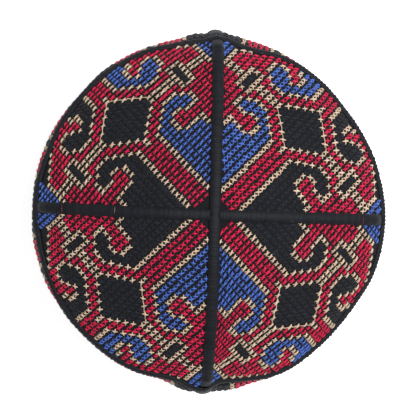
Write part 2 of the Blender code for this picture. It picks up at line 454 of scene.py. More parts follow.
def finish_material(tree, shader, position, colour, detail, lint, roughness, sheen, specular, relief):
    """What floss and cotton share: lint, roughness, sheen, shine and bump.

    roughness is a pair for the shaded dips and the crests, sheen is its weight and roughness, and relief is
    the bump's distance and strength."""
    specks = use_group(tree, "lint", Position=position, Amount=lint)["Mask"]
    rough = add_node(tree, "MapRange", Value=detail["Shade"], To_Min=roughness[0], To_Max=roughness[1])
    bump = add_node(tree, "Bump", Height=detail["Height"], Distance=relief[0], Strength=relief[1])
    feed_all(tree, shader, {"Base Color": mixed_colour(tree, specks, colour, LINT_COLOUR),
                            "Roughness": rough["Result"], "Normal": bump["Normal"], "Sheen Weight": sheen[0],
                            "Sheen Roughness": sheen[1], "Specular IOR Level": specular})


def thread_material(name, dip_colour, crest_colour, strands, twist, roughness, lint, specular=0.30):
    """Floss from dip_colour to crest_colour: painted shade between strands, a tone per thread, lint."""
    material, tree, shader, uv, position = begin_material(name)
    thread = use_group(tree, "thread strands", Thread_UV=uv, Strands=strands, Twist=twist)
    # A random tone for each thread plus the painted shade of the strands
    light = calculate(tree, "MULTIPLY_ADD", thread["Tone"], 0.40,
                      calculate(tree, "SUBTRACT", thread["Shade"], 0.2))
    finish_material(tree, shader, position, mixed_colour(tree, light, dip_colour, crest_colour), thread, lint,
                    (roughness + 0.12, roughness - 0.08), (0.04, 0.4), specular, (0.09 * MM, 0.7))
    return material


def woven_material(name, dip_colour, crest_colour, yarns, roughness, lint, relief):
    """Plain-woven cotton from dip_colour to crest_colour: painted shade of the weave mixed with slubs, and
    some lint.
    """
    material, tree, shader, uv, position = begin_material(name)
    weave = use_group(tree, "plain weave", Cloth_UV=uv, Yarns_per_mm=yarns)
    finish_material(tree, shader, position, mixed_colour(tree, weave["Shade"], dip_colour, crest_colour), weave, lint,
                    (roughness + 0.06, roughness - 0.08), (0.03, 0.5), 0.15, (relief, 0.6))
    return material


# Colour in the dips and on the crests (painted shade and a random tone lie between them), strands, twist,
# roughness, lint and, for the black ones, less shine
FLOSS_LOOKS = {
    "red": ((0.20, 0.0008, 0.015), (0.77, 0.0030, 0.066), 4.0, 0.35, 0.55, 0.0),
    "beige": ((0.27, 0.185, 0.12), (0.76, 0.57, 0.41), 4.0, 0.35, 0.58, 0.0),
    "blue": ((0.018, 0.050, 0.22), (0.072, 0.165, 0.60), 4.0, 0.35, 0.55, 0.0),
    "black": ((0.0003, 0.0005, 0.0011), (0.0118, 0.0132, 0.0196), 5.0, 0.6, 0.66, 0.12, 0.2),
}
FLOSS_NAMES = dict(zip("RBGK", FLOSS_LOOKS))
FLOSS = {letter: thread_material(f"{name}_floss", *FLOSS_LOOKS[name]) for letter, name in FLOSS_NAMES.items()}
# Painted shade: the satin stitch is darker in the dip between wrapped threads, with a random tone for each
# thread
black_satin = thread_material("black_satin_stitch", (0.0003, 0.0005, 0.0009), (0.0092, 0.0103, 0.0152),
                              1.0, 0.1, 0.66, 0.15, 0.2)
# Colour in the dips and on the crests of the weave (painted shade and slubs lie between them), yarns per mm,
# roughness, lint and relief
black_cloth = woven_material("black_cloth", (0.0020, 0.0022, 0.0030), (0.0085, 0.0090, 0.0115),
                             1.8, 0.88, 0.2, 0.12 * MM)
black_tape = woven_material("black_tape", (0.0045, 0.0050, 0.0055), (0.018, 0.019, 0.022),
                            2.4, 0.82, 0.30, 0.08 * MM)
print("floss:", [material.name for material in FLOSS.values()])

# %% [markdown]
# ## Turning arrays into meshes
# A cap like this has thousands of stitches. One object for each would be slow to handle, so whole groups of
# them become one mesh. Every helper below works out all the points as an array first, joins them into
# four-sided faces, and hands both to Blender in one call.

# %% Mesh helpers
def ride_piece(name, mesh, material):
    """A smooth-shaded object made of a mesh, riding on the cap's one body."""
    mesh.materials.append(material)
    mesh.shade_smooth()
    piece = add_object(name, mesh)
    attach(piece, "root")
    return piece


def add_piece(name, points, faces, uv, material):
    """A piece made of arrays of points, faces and UV places."""
    mesh = bpy.data.meshes.new(name)
    mesh.from_pydata(points.reshape(-1, 3).tolist(), [], faces.tolist())
    corners = np.empty(len(mesh.loops), dtype=np.int32)
    mesh.loops.foreach_get("vertex_index", corners)
    layer = mesh.uv_layers.new(name="thread_map")
    layer.data.foreach_set("uv", uv.reshape(-1, 2)[corners].astype(np.float32).ravel())
    return ride_piece(name, mesh, material)


def grid_faces(rows, columns, rows_join, columns_join):
    """The four-sided faces of a grid of points, joined round in either direction if asked."""
    row, column = np.meshgrid(np.arange(rows if rows_join else rows - 1),
                              np.arange(columns if columns_join else columns - 1), indexing="ij")
    next_row, next_column = (row + 1) % rows, (column + 1) % columns
    faces = [row * columns + column, row * columns + next_column,
             next_row * columns + next_column, next_row * columns + column]
    return np.stack(faces, axis=-1).reshape(-1, 4)


def count(piece):
    """How many triangles a piece has."""
    return sum(len(face.vertices) - 2 for face in piece.data.polygons)


# %% [markdown]
# ## The gores' cloth
# Each gore is a quarter of the crown. Its cloth could be cut from a sphere, but the real crown is a low cone
# that rounds over at the rim. So a square grid is bent to a quarter disc, lifted to the crown's height and
# given thickness with a Solidify modifier, as in the CAD source, but with finer steps and a slight wave.
# Its UV map runs in millimetres along the gore's middle, because the pattern and the weave lie that way.

# %% Gore panels
GORE_GRID = 60
GORES = {"back_right": (1, 1), "back_left": (-1, 1), "front_left": (-1, -1), "front_right": (1, -1)}


def solid_panel(name, steps_a, steps_b, place, flipped, material):
    """A cloth panel. place(a, b) gives a point and its UV for corners that run from 0 to 1 each way."""
    bm = bmesh.new()
    bmesh.ops.create_grid(bm, x_segments=steps_a, y_segments=steps_b, size=0.5)
    layer = bm.loops.layers.uv.new("thread_map")
    share = np.array([corner.co.xy for corner in bm.verts]) + 0.5
    points, uv = place(share[:, 0], share[:, 1])
    for corner, point in zip(bm.verts, points):
        corner.co = point
    for face in bm.faces:
        for loop in face.loops:
            loop[layer].uv = uv[loop.vert.index]
    if flipped:
        bmesh.ops.reverse_faces(bm, faces=bm.faces)
    mesh = bpy.data.meshes.new(name)
    bm.to_mesh(mesh)
    area = sum(face.calc_area() for face in bm.faces)
    bm.free()
    piece = ride_piece(name, mesh, material)
    thickness = piece.modifiers.new("cloth", "SOLIDIFY")
    thickness.thickness = CLOTH
    thickness.offset = -1.0
    thickness.use_even_offset = True
    return piece, area


def make_gore_cloth(name, side_x, side_y):
    def place(a, b):
        # A square bent to a quarter disc, with its corner at the peak
        x = a * np.sqrt(1 - b * b / 2)
        y = b * np.sqrt(1 - a * a / 2)
        radius = shoulder_radius(np.arctan2(side_y * y, side_x * np.maximum(x, 1e-9)))
        x = np.maximum(x * radius, SEAM_GAP / 2)
        y = np.maximum(y * radius, SEAM_GAP / 2)
        uv = np.stack([x + y, x - y], axis=-1) / math.sqrt(2) / MM
        return crown_surface(side_x * x, side_y * y), uv

    panel, area = solid_panel(f"gore_cloth_{name}", GORE_GRID, GORE_GRID, place, side_x * side_y < 0,
                              black_cloth)
    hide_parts(f"gore_{name}")
    return panel, area


gore_panels = {name: make_gore_cloth(name, *sides) for name, sides in GORES.items()}
print("gore cloth:", [round(area * 1e4, 1) for _, area in gore_panels.values()], "square centimetres each")

# %% [markdown]
# ## The stitch grid
# Cross-stitch is worked on a counted grid, with rows along the gore's middle and columns on either side of
# it. A drawing projected from above would look right from one side only. Here the grid is laid on the cloth
# itself: rows are counted by the length of cloth from the peak, and each gore has its own small shift, turn
# and sag, because each was sewn by hand and pulled a little differently. They were read from the picture.

# %% Grid of one gore
ROW = 2.74 * MM
COLUMN = 3.54 * MM
GRID_MIDDLE_ROW = 24.5

# For each gore: where its rows start and how far it is shifted, in mm, its turn in degrees, the scales of its
# rows and columns, and the change of sag beyond the middle row. Then, in pairs for the lengthwise and the
# crosswise side of its middle: the sag of the rows, its change from row to row up to the middle row, how much
# the columns draw together, and how the rows curl at their ends
GORE_GRIDS = {
    "back_right": (-0.15, 1.12, -0.63, 0.999, 0.990, -0.0003,
                   (-0.0207, -0.0142), (-0.0033, 0.0005), (1.5e-4, 1.2e-4), (1.9e-5, -1.4e-5)),
    "back_left": (1.65, 0.41, -0.05, 0.993, 0.990, -0.0017,
                  (-0.0106, -0.0229), (-0.0012, 0.0006), (1.0e-4, 2.5e-4), (-0.5e-5, 1.7e-5)),
    "front_left": (1.14, -0.71, 0.13, 1.003, 0.998, -0.0026,
                   (-0.0121, -0.0143), (-0.0012, -0.0003), (0.8e-4, 2.2e-4), (-0.2e-5, -1.0e-5)),
    "front_right": (1.80, -1.16, 0.43, 0.996, 0.976, -0.0012,
                    (-0.0202, -0.0079), (-0.0047, 0.0008), (1.3e-4, 1.6e-4), (0.6e-5, -0.6e-5)),
}

share_steps = np.linspace(0.0, 1.05, 600)
middle_radius = shoulder_radius(math.pi / 4)
cloth_steps = np.hypot(np.diff(share_steps) * middle_radius, np.diff(crown_drop(share_steps)))
cloth_length = np.concatenate([[0.0], np.cumsum(cloth_steps)])


def grid_to_plan(gore, row, column):
    """Plan x, y of places on one gore's stitch grid. Columns below 0 lie towards the lengthwise seam."""
    start, shift, turn, row_scale, column_scale, past, *pairs = GORE_GRIDS[gore]
    side_x, side_y = GORES[gore]
    sag, change, closing, curl = (np.where(column < 0, *pair) for pair in pairs)
    change = np.where(row < GRID_MIDDLE_ROW, change, past)
    bend = (sag + change * (row - GRID_MIDDLE_ROW)) * column ** 2 + curl * column ** 4
    length = row * ROW * row_scale + start * MM
    out = np.interp(length, cloth_length, share_steps) * middle_radius + bend * MM
    across = COLUMN * column_scale * column * (1 - closing * column ** 2) + shift * MM
    angle = math.pi / 4 - math.radians(turn)
    x = out * math.cos(angle) + across * math.sin(angle)
    y = out * math.sin(angle) - across * math.cos(angle)
    return side_x * x, side_y * y


x, y = grid_to_plan("back_right", np.array([GRID_MIDDLE_ROW]), np.array([0.0]))
print("middle of the diamond:", round(float(x[0]) / MM, 1), round(float(y[0]) / MM, 1), "mm from the peak")

# %% [markdown]
# ## The pattern chart
# An embroiderer works from a chart, and so does this script. The gore's pattern is the same on both sides of
# its middle, so one line for each column is enough: the runs of rows and the letter of the floss. R is red,
# B beige, K black, and G the ground, which is blue on the lengthwise side and black on the other. Even the
# black parts are stitched, black on black. The stem climbs from the peak, opens round a diamond, and sends
# out ram's-horn hooks on both sides.

# %% Chart of one gore
CHART = """
0  3-17R 18-19B 20-29K 30-31B 32-37R
1  3-19R 20B 21-28K 29B 30-37R
2  4-18B 19-20R 21B 22-27K 28B 29-30R 31-37B
3  5-18G 19B 20-21R 22B 23-26K 27B 28-29R 30B 31-37G
4  5-19G 20B 21-22R 23B 24-25K 26B 27-28R 29B 30-37G
5  6-15G 16-18B 19-20G 21B 22-23R 24-25B 26-27R 28B 29-30G 31-33B 34-36G
6  7-14G 15B 16-18R 19B 20-21G 22B 23R 24-25B 26R 27B 28-29G 30B 31-32R 33-34B 35-36G
7  8-14G 15B 16-18R 19B 20-21G 22B 23R 24-25B 26R 27B 28-30G 31B 32-35R
8  9-14G 15B 16-17R 18B 19-21G 22B 23R 24-25B 26R 27B 28-31G 32B 33-35R
9  10-12G 13-15B 16-17R 18B 19-20G 21B 22-23R 24-25B 26-27R 28B 29-31G 32B 33-34R
10 11-17R 18-20B 21R 22-27B 28R 29-31B 32-34R
11 13-21R 22B 23-26K 27B 28-32R 33B
12 14-21R 22-27B 28-31R 32B
13 15-23R 24-25B 26-30R 31B
14 17-23R 24-25B 26-29R 30B
15 18-23R 24-25B 26-28R 29B
16 20-22R 23-28B
17 22-30G
18 23-31G
19 24-31G
20 25-31G
21 26-31G
"""
CORNER_COLUMN = 17                # from here the ground is blue on both sides


def read_chart(text):
    """The chart's stitches as (row, column, floss) for both halves of a gore."""
    stitches = []
    for line in text.strip().splitlines():
        column, *runs = line.split()
        for run in runs:
            first, _, last = run[:-1].partition("-")
            for row in range(int(first), int(last or first) + 1):
                for side in sorted({-int(column), int(column)}):
                    stitches.append((row, side, run[-1]))
    return stitches


def floss_of(column, letter):
    """The floss a chart letter asks for at a column: the ground is black on the crosswise side."""
    return "K" if letter == "G" and 0 < column < CORNER_COLUMN else letter


chart = [(row, column, floss_of(column, letter)) for row, column, letter in read_chart(CHART)]
print("stitches charted for a gore:", len(chart))

# %% [markdown]
# ## One cross-stitch
# A cross is two short threads, one over the other, each diving into the cloth at both ends and fattest in
# the middle. Two gores show neat four-pointed crosses. On the other two the top thread lies almost straight
# across the column, so they look like slanting bars with thin tails. The black crosses are wider, so that
# hardly any cloth shows between them. All are made by one rule, from spindles with a six-sided section:
# start, end, half width, half height and lift.

# %% Spindles and stitch shapes
STATIONS = 6
SECTION = np.radians([-25.0, 30.0, 72.0, 108.0, 150.0, 205.0])
PLUNGE = 0.22 * MM                # how far a thread's ends go into the cloth
TIP_WIDTH = 0.22                  # shares of a thread's width and height that are left at its ends
TIP_HEIGHT = 0.45


def spindle(start, end, half_width, half_height, lift, fullness=0.75):
    """One thread of a stitch, its sizes in mm: points as (row, column, height in metres), and their UV."""
    start, end = np.array(start) * (ROW, COLUMN), np.array(end) * (ROW, COLUMN)
    direction = (end - start) / np.linalg.norm(end - start)
    sideways = np.array([-direction[1], direction[0]])
    t = np.linspace(0.0, 1.0, STATIONS)[:, None]
    bulge = np.sin(math.pi * t) ** fullness
    width = half_width * MM * (TIP_WIDTH + (1 - TIP_WIDTH) * bulge)
    height = half_height * MM * (TIP_HEIGHT + (1 - TIP_HEIGHT) * bulge)
    level = lift * MM * np.sin(math.pi * t) ** 0.8 - PLUNGE * (1 - bulge)
    spots = start + (end - start) * t[..., None] + sideways * (width * np.cos(SECTION))[..., None]
    heights = level + height * np.sin(SECTION)
    points = np.concatenate([spots / (ROW, COLUMN), heights[..., None]], axis=-1)
    across = np.broadcast_to(np.linspace(0.04, 0.96, len(SECTION)), heights.shape)
    along = np.broadcast_to(t * np.linalg.norm(end - start) / MM, heights.shape)
    return points.reshape(-1, 3), np.stack([along, across], axis=-1).reshape(-1, 2)


def spindle_faces():
    """The faces of one spindle, with both ends closed by two four-sided faces."""
    sides = len(SECTION)
    body = grid_faces(STATIONS, sides, False, True)
    last = (STATIONS - 1) * sides
    start_caps = np.array([[0, 3, 2, 1], [0, 5, 4, 3]])
    return np.concatenate([body, start_caps, last + start_caps[:, [0, 3, 2, 1]]])[:, ::-1]


STITCH_SHAPES = {
    "back_right": [((-0.50, 0.39), (0.50, -0.39), 0.42, 0.30, 0.12),
                   ((-0.52, -0.37), (0.52, 0.37), 0.53, 0.38, 0.40)],
    "front_left": [((-0.46, 0.38), (0.46, -0.38), 0.40, 0.28, 0.12),
                   ((-0.48, -0.35), (0.48, 0.35), 0.49, 0.36, 0.38)],
    "back_left": [((-0.40, -0.46), (0.40, 0.46), 0.28, 0.26, 0.10),
                  ((0.20, -0.50), (-0.20, 0.50), 0.52, 0.40, 0.40, 0.6)],
    "front_right": [((-0.41, -0.47), (0.41, 0.47), 0.32, 0.26, 0.10),
                    ((0.20, -0.51), (-0.20, 0.51), 0.60, 0.42, 0.40, 0.6)],
    "band": [((-0.50, 0.38), (0.50, -0.38), 0.46, 0.26, 0.06),
             ((-0.52, -0.36), (0.52, 0.36), 0.54, 0.30, 0.16)],
    "black": [((-0.52, 0.46), (0.52, -0.46), 0.66, 0.22, 0.06, 0.5),
              ((-0.54, -0.44), (0.54, 0.44), 0.70, 0.28, 0.20, 0.5)],
}
print("triangles in a stitch:", 2 * 2 * len(spindle_faces()))

# %% [markdown]
# ## Laying the stitches
# All the stitches of one colour on one gore become a single mesh. Each place on the grid gives a little
# frame of its own, made of the step to the next row, the step to the next column and the direction up from
# the cloth, so the stitches follow the crown's slope. A seeded random generator turns, shifts and swells
# each stitch a little, the way a hand does.

# %% Lay stitches on any surface
SEED = 7
hand = np.random.default_rng(SEED)
TURN_SPREAD = 6.0                 # how unlike each other hand-made stitches are: degrees,
SWELL_SPREAD = 0.10               # share of their size,
NUDGE_SPREAD = 0.045              # and share of a row or column
LONE_THREAD = 0.3                 # share of all that for threads which aren't part of the cross-stitch


def lay_threads(name, places, row_step, column_step, up, threads, material, jitter=1.0):
    """Copies threads to every place and joins them into one piece."""
    number = len(places)
    turn = np.radians(hand.normal(0.0, TURN_SPREAD, number)) * jitter
    swell = 1 + hand.normal(0.0, SWELL_SPREAD, (number, 3)) * jitter
    nudge = hand.normal(0.0, NUDGE_SPREAD, (number, 2)) * jitter
    made = []
    for order, thread in enumerate(threads):
        points, uv = spindle(*thread)
        row = points[:, 0] * swell[:, 0:1]
        column = points[:, 1] * swell[:, 1:2]
        turned_row = row * np.cos(turn)[:, None] - column * np.sin(turn)[:, None] + nudge[:, 0:1]
        turned_column = row * np.sin(turn)[:, None] + column * np.cos(turn)[:, None] + nudge[:, 1:2]
        height = points[:, 2] * swell[:, 2:3]
        spots = (places[:, None] + turned_row[..., None] * row_step[:, None]
                 + turned_column[..., None] * column_step[:, None] + height[..., None] * up[:, None])
        # Across each thread, UV runs from a whole number of its own to the next
        numbered = np.broadcast_to(uv, (number, *uv.shape)).copy()
        numbered[..., 1] += (np.arange(number) * len(threads) + order)[:, None]
        first_points = (order * number + np.arange(number)) * len(points)
        faces = spindle_faces() + first_points[:, None, None]
        made.append((spots.reshape(-1, 3), faces.reshape(-1, 4), numbered.reshape(-1, 2)))
    return add_piece(name, *(np.concatenate(part) for part in zip(*made)), material)


def crown_frames(gore, row, column):
    """Place, row step, column step and up direction for spots on a gore's grid."""
    def surface(row, column):
        return crown_surface(*grid_to_plan(gore, row, column))

    return (surface(row, column), step_over(surface, row, column, 1, 0),
            step_over(surface, row, column, 0, 1), crown_normal(*grid_to_plan(gore, row, column)))


def work_chart(name, stitches, letters, frames, shape):
    """One piece of cross-stitch for each floss of a chart."""
    pieces = []
    for floss in letters:
        spots = np.array([spot for *spot, letter in stitches if letter == floss], dtype=float)
        pieces.append(lay_threads(f"cross_stitch_{FLOSS_NAMES[floss]}_{name}", *frames(*spots.T),
                                  STITCH_SHAPES["black" if floss == "K" else shape], FLOSS[floss]))
    print(name, "triangles:", sum(count(piece) for piece in pieces))
    return pieces


# %% Stitches of the crown
RIM_LIMIT = 0.999                 # stitches stop where the rim rib begins
SEAM_CLEARANCE = 2.6 * MM         # nearer to the seam than this the ribs hide them
# How far the sewn seams wander from the straight: places along them and shifts, in mm
LENGTHWISE_WANDER = ((-90, -60, -40, -20, 0, 40, 55, 90), (1.1, 1.2, 1.0, 0.4, 0.15, 0.1, 0.65, 0.8))
CROSSWISE_WANDER = ((-90, -60, -40, 0, 90), (-0.3, -0.6, -0.9, -0.95, -0.9))


def wander(seam, along):
    """A seam's sideways shift at places along it."""
    return np.interp(along / MM, *seam) * MM


def seen_on_gore(gore, row, column):
    """Which spots lie clear of the seam ribs and the rim rib."""
    x, y = grid_to_plan(gore, row, column)
    side_x, side_y = GORES[gore]
    clear_x = (x - wander(LENGTHWISE_WANDER, y)) * side_x > SEAM_CLEARANCE
    clear_y = (y - wander(CROSSWISE_WANDER, x)) * side_y > SEAM_CLEARANCE
    return (crown_share(x, y) < RIM_LIMIT) & clear_x & clear_y


def clear_frames(gore, row, column):
    """The frames of those spots on a gore that stay in sight."""
    seen = seen_on_gore(gore, row, column)
    return crown_frames(gore, row[seen], column[seen])


crown_stitches = {gore: work_chart(gore, chart, FLOSS, partial(clear_frames, gore), gore) for gore in GORES}

# %% [markdown]
# ## Loose threads between stitches
# Where the outline of the diamond steps from one cross to the next, the beige floss runs on over the cloth,
# and it shows as a thin straight line. It is a long thin spindle from the middle of one stitch to the
# middle of the next, laid with the same helper.

# %% Loose threads round the diamonds
LOOSE_SIZES = (0.22, 0.20, 0.75)  # half width, half height and lift in mm
# Each edge of the diamond is (first row, row step, column step)
DIAMOND_EDGES = {"near_left": (19, 1, -1), "far_left": (30, -1, -1), "far_right": (30, -1, 1)}
THREADED_EDGES = {"back_right": ["near_left", "far_right"],
                  "front_left": ["near_left"],
                  "back_left": ["far_left", "far_right"],
                  "front_right": ["far_right", "far_left", "near_left"]}
EDGE_STEPS = 5

for gore, edges in THREADED_EDGES.items():
    for edge in edges:
        first_row, row_step, column_step = DIAMOND_EDGES[edge]
        steps = np.arange(EDGE_STEPS)
        spots = crown_frames(gore, first_row + steps * float(row_step), steps * float(column_step))
        loose = [((0.0, 0.0), (float(row_step), float(column_step)), *LOOSE_SIZES)]
        piece = lay_threads(f"loose_thread_{edge}_{gore}", *spots, loose, FLOSS["B"], LONE_THREAD)
        crown_stitches[gore].append(piece)
print("loose threads laid on", len(THREADED_EDGES), "gores")

# %% [markdown]
# ## Satin-stitched ribs
# A cord is laid over each seam and wrapped closely with black floss, so the rib is a row of fine ridges
# across its length. A bump could show them from above, but at the rib's edge the threads would still end in
# a perfectly straight line. So the ridges are real: the section is swept along the seam with one ring of
# points in the dip between two threads and one on each thread's crest, and every thread is a little
# different in height and reach.

# %% Sweep a wrapped rib
THREAD = 1.1 * MM                 # width of one wrapped thread
RIB_SIDES = 13
GIRTH = 14.0                      # mm of thread round a rib, for its UV map
RIB_SEAT = 0.6 * GAP              # how high a rib's base lies over the cloth
RIB_SINK = 0.15 * MM              # how far its underside goes into the cloth
CREST_SPREAD = 0.35               # how unlike the threads are: share of their height,
REACH_SPREAD = 0.03               # and share of their reach to the sides,
REACH_MORE = 0.02                 # which is a little more than the cord's
SLOW_SWELL = 0.03                 # share by which the cord below grows and shrinks along the seam
SLOW_TURNS = 20                   # how often it does so round the rim,
SLOW_STEP = 0.12                  # and how unevenly along the other seams


def domed_section(around, height):
    """How far across, from -1 to 1, and how high a round-topped section stands."""
    turn = 2 * math.pi * around
    return np.cos(turn), height * np.maximum(np.sin(turn), 0.0) - RIB_SINK * (np.sin(turn) < -0.01)


def wrapped_rib(name, length, height, wrap, crest_height, place, nodes, closed=False):
    """Sweeps a domed section under bundles of thread, wrap apart. place(along, offset, lift) gives points."""
    threads = round(length / wrap)
    rings = 2 * threads + (0 if closed else 1)
    ring = np.arange(rings)
    along = ring / (2 * threads)
    around = np.arange(RIB_SIDES) / RIB_SIDES
    offset, lift = domed_section(around, height)
    on_thread = ring % 2 == 1
    crest = np.where(on_thread, crest_height * (1 + hand.normal(0.0, CREST_SPREAD, rings)), 0.0)
    reach = 1 + np.where(on_thread, hand.normal(REACH_MORE, REACH_SPREAD, rings), 0.0)
    phase = along * 2 * SLOW_TURNS * math.pi if closed else np.cumsum(hand.normal(0.0, SLOW_STEP, rings))
    slow = 1 + SLOW_SWELL * np.sin(phase)
    fullness = np.maximum(np.sin(2 * math.pi * around), 0.0) ** 0.5
    grid_along = np.repeat(along[:, None], RIB_SIDES, axis=1)
    grid_offset = offset[None] * reach[:, None]
    grid_lift = lift[None] * slow[:, None] + crest[:, None] * fullness[None]
    points = place(grid_along, grid_offset, grid_lift)
    strand = ring[:, None] / 2 * max(round(wrap / THREAD), 1)
    along_thread = np.repeat(around[None] * GIRTH, rings, axis=0)
    uv = np.stack([along_thread, np.repeat(strand, RIB_SIDES, axis=1)], axis=-1)
    rib = add_piece(name, points, grid_faces(rings, RIB_SIDES, closed, True), uv, black_satin)
    if not closed:
        bm = bmesh.new()
        bm.from_mesh(rib.data)
        bmesh.ops.holes_fill(bm, edges=bm.edges, sides=RIB_SIDES)
        bmesh.ops.recalc_face_normals(bm, faces=bm.faces)
        bm.to_mesh(rib.data)
        bm.free()
    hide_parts(*nodes)
    print(name, threads, "threads,", count(rib), "triangles")


# %% Ribs over the crown's seams
RIB_SPREAD = 6.2 * MM             # the wrapped threads reach a little past the cord
RIB_WRAP = 1.15 * MM
RIB_CREST = 0.30 * MM
END_HEIGHT = 0.4                  # share of the rib's height at its ends, where the rim rib passes over them
END_LENGTH = 4.0 * MM


def crown_rib(node, direction, start, end):
    direction = np.array(direction, dtype=float)
    across = np.array([-direction[1], direction[0]])

    def place(along, offset, lift):
        spot = (direction * (start + along * (end - start))[..., None]
                + across * (offset * RIB_SPREAD / 2)[..., None])
        x, y = spot[..., 0], spot[..., 1]
        to_end = end - np.hypot(x, y)
        if direction[0]:
            y = y + wander(CROSSWISE_WANDER, x)
        else:
            x = x + wander(LENGTHWISE_WANDER, y)
        flatten = END_HEIGHT + (1 - END_HEIGHT) * np.clip(to_end / END_LENGTH, 0.0, 1.0)
        return crown_surface(x, y) + crown_normal(x, y) * (lift * flatten + RIB_SEAT)[..., None]

    wrapped_rib(f"{node}_wrapping", end - start, RIB_HEIGHT, RIB_WRAP, RIB_CREST, place, [node])


RIM_OVERLAP = -0.1 * MM           # how far the crown ribs reach past the shoulder
BUTT_OVERLAP = 0.3 * MM           # and the crosswise ones under the lengthwise one
lengthwise_end = shoulder_radius(math.pi / 2) + RIM_OVERLAP
crosswise_end = shoulder_radius(0.0) + RIM_OVERLAP
crosswise_start = RIB_WIDTH / 2 - BUTT_OVERLAP
crown_rib("crown_rib_lengthwise", (0, 1), -lengthwise_end, lengthwise_end)
crown_rib("crown_rib_left", (-1, 0), crosswise_start, crosswise_end)
crown_rib("crown_rib_right", (1, 0), crosswise_start, crosswise_end)

# %% Rib round the rim
rim_length = 2 * math.pi * RIM_OUTER_RADIUS
RIM_WRAP = 2.1 * MM
RIM_CREST = 0.36 * MM
RIM_SLANT = 0.9 * MM              # how far each bundle slants along the rim
RIM_SWELL = 0.9 * MM              # how far the rim rib rises to pass over a crown rib's end


def over_a_seam(angle):
    """From 0 to 1 where the rim rib passes over the end of a crown rib."""
    share = np.zeros_like(angle)
    for side in (-RIM_OUTER_RADIUS, RIM_OUTER_RADIUS):
        for seam_end in (math.atan2(side, wander(LENGTHWISE_WANDER, side)),
                         math.atan2(wander(CROSSWISE_WANDER, side), side)):
            away = (np.mod(angle - seam_end + math.pi, 2 * math.pi) - math.pi) * RIM_OUTER_RADIUS
            share = share + np.exp(-(away / (RIB_SPREAD / 2)) ** 4)
    return share


def rim_place(along, offset, lift):
    """The rim rib bends over the shoulder: its inner half lies on the crown, its outer half on the band."""
    angle = 2 * math.pi * along + RIM_SLANT * offset / RIM_OUTER_RADIUS
    reach = RIM_RIB_WIDTH / 2
    lean = RIM_RIB_LEAN * (1 - offset) / 2
    inner = outward(angle) * (shoulder_radius(angle) + offset * reach * math.sin(RIM_RIB_LEAN))[..., None]
    rise = RIM_SWELL * over_a_seam(angle) * np.sqrt(np.maximum(-offset, 0.0))
    on_crown = (crown_surface(inner[..., 0], inner[..., 1])
                + crown_normal(inner[..., 0], inner[..., 1]) * rise[..., None])
    on_band = outward(angle) * (shoulder_radius(angle) + BAND_STEP)[..., None]
    on_band[..., 2] = BAND_HEIGHT - offset * reach
    base = np.where((offset < 0)[..., None], on_crown, on_band)
    return base + outward(angle, lean) * (lift + GAP)[..., None]


wrapped_rib("rim_rib_wrapping", rim_length, RIM_RIB_HEIGHT, RIM_WRAP, RIM_CREST, rim_place, ["rim_rib"],
            closed=True)

# %% [markdown]
# ## Stray threads over the ribs
# Here and there a coloured thread was carried across a seam before the next part was worked, and it still
# lies over the black wrapping. Each one is a chain of short spindles that follows the rib's round section.

# %% Stray threads
# Floss, place along the crosswise seam in mm, and how far across the rib the thread starts and stops
STRAY_THREADS = {"red_left": ("R", -78.1, 1.0, -1.0), "beige_left": ("B", -50.9, 0.6, -0.35),
                 "red_right": ("R", 80.0, 0.2, -1.0)}
STRAY_STEPS = 6
STRAY_SHAPE = [((-0.6, 0.0), (0.6, 0.0), 0.075, 0.09, 0.12)]

for name, (floss, along, first, last) in STRAY_THREADS.items():
    offsets = np.linspace(first, last, STRAY_STEPS)
    x = np.full(STRAY_STEPS, along * MM)
    y = wander(CROSSWISE_WANDER, x) + offsets * RIB_SPREAD / 2
    lift = (RIB_HEIGHT + RIB_CREST) * np.sqrt(1 - offsets ** 2) + RIB_SEAT
    up = crown_normal(x, y)
    line = crown_surface(x, y) + up * lift[:, None]
    along_seam = np.zeros((STRAY_STEPS - 1, 3)) + (COLUMN, 0, 0)
    lay_threads(f"stray_thread_{name}", (line[1:] + line[:-1]) / 2, line[1:] - line[:-1], along_seam, up[1:],
                STRAY_SHAPE, FLOSS[floss], LONE_THREAD)
print("stray threads:", len(STRAY_THREADS))

# %% [markdown]
# ## The band
# The side band shows only as slivers past the rim. Along the left edge they give the order of its columns:
# a black panel, a red stem edged with beige, a broad red one, the next black panel, and so on, the same way
# round from each seam. What fills the panels further down is a guess: a small diamond in red, blue and
# beige, in the manner of the crown. The cloth is a bent grid again, and the stitches use the same helper
# with frames taken from the band.

# %% Band cloth
BAND_STEPS = 150
BAND_ROWS = 22
BAND_MIDDLES = {"left": math.pi, "right": 0.0}


def make_band_cloth(name, middle):
    reach = math.pi / 2 - BAND_SEAM_GAP / 2 / RIM_OUTER_RADIUS

    def place(a, b):
        angle = middle + (2 * a - 1) * reach
        uv = np.stack([angle * RIM_OUTER_RADIUS, b * BAND_DEPTH], axis=-1) / MM
        return band_surface(angle, 1 - b), uv

    panel, area = solid_panel(f"band_cloth_{name}", BAND_STEPS, BAND_ROWS, place, False, black_cloth)
    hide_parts(f"band_{name}")
    return panel, area


band_panels = {name: make_band_cloth(name, middle) for name, middle in BAND_MIDDLES.items()}
print("band cloth:", [round(area * 1e4, 1) for _, area in band_panels.values()], "square centimetres each")

